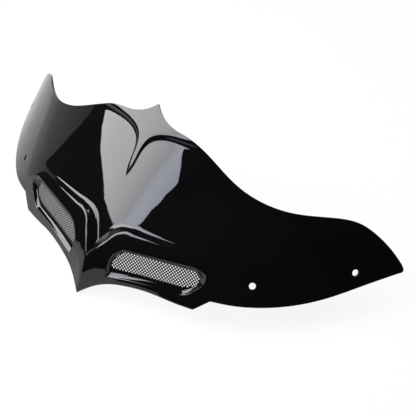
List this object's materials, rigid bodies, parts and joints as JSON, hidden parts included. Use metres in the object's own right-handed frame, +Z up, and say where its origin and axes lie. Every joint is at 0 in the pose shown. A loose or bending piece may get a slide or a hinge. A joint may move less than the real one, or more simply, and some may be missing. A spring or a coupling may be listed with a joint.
{
  "type": "motorcycle windshield",
  "caption": "Short wraparound motorcycle windshield in gloss black sheet, swept wings with screw holes, raised top wedge, brow, keeled nose and mesh vents",
  "frame": {"origin": "on the middle plane, midway between the two front screw holes at the outer face", "axes": "+X to the part's side seen on the right from the front, +Y to the rear, +Z up as fitted to the motorcycle, sheet raked back 46.8 degrees from vertical"},
  "size_m": [0.6678, 0.2576, 0.2004],
  "materials": {
    "screen": "polished gloss black",
    "mesh": "satin black coating"
  },
  "bodies": {
    "root": {"screen": "screen", "vent_mesh_left": "mesh", "vent_mesh_right": "mesh"}
  },
  "joints": []
}
